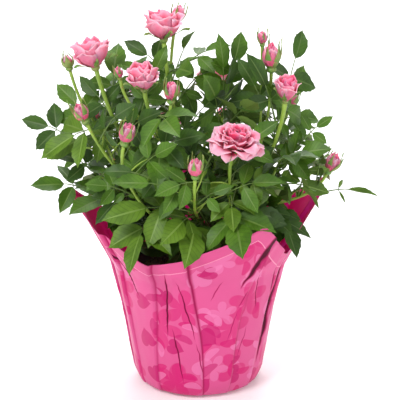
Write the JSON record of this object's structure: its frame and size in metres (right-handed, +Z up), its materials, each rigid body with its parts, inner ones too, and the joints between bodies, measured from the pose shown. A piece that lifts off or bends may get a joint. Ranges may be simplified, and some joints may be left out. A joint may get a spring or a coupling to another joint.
{
  "type": "potted rose bush",
  "caption": "Miniature rose bush with pink double blooms and buds, in a nursery pot inside a pleated, flared film pot cover.",
  "frame": {"origin": "middle of the flat underside of the film pot cover", "axes": "+Z up through the middle of the pot, -Y towards the side the bush is seen from first, +X to that viewer's right"},
  "size_m": [0.3275, 0.2467, 0.3567],
  "materials": {
    "film_cover": "glossy printed film",
    "nursery_pot": "matt moulded plastic",
    "soil": "rough damp potting mix",
    "stems": "green bark",
    "leaves": "soft leaves, twigs and blossom"
  },
  "bodies": {
    "root": {"pot_cover": "film_cover", "nursery_pot": "nursery_pot", "soil": "soil", "cane_left": "stems", "cane_front": "stems", "cane_right": "stems", "cane_back": "stems", "cane_centre": "stems", "bough_left_mid": "stems", "bough_left_low": "stems", "bough_front_left": "stems", "bough_front_right": "stems", "bough_right_mid": "stems", "bough_right_low": "stems", "bough_back_left": "stems", "bough_back_right": "stems", "bough_back_low_left": "stems", "bough_back_low_right": "stems", "bough_crown_left": "stems", "bough_crown_right": "stems", "crown_leaves": "leaves", "crown_left_leaves": "leaves", "crown_right_leaves": "leaves", "left_tall_leaves": "leaves", "left_mid_leaves": "leaves", "left_low_leaves": "leaves", "front_left_leaves": "leaves", "front_mid_leaves": "leaves", "front_right_leaves": "leaves", "right_tall_leaves": "leaves", "right_mid_leaves": "leaves", "right_low_leaves": "leaves", "back_left_leaves": "leaves", "back_mid_leaves": "leaves", "back_right_leaves": "leaves", "back_low_left_leaves": "leaves", "back_low_right_leaves": "leaves"}
  },
  "joints": []
}
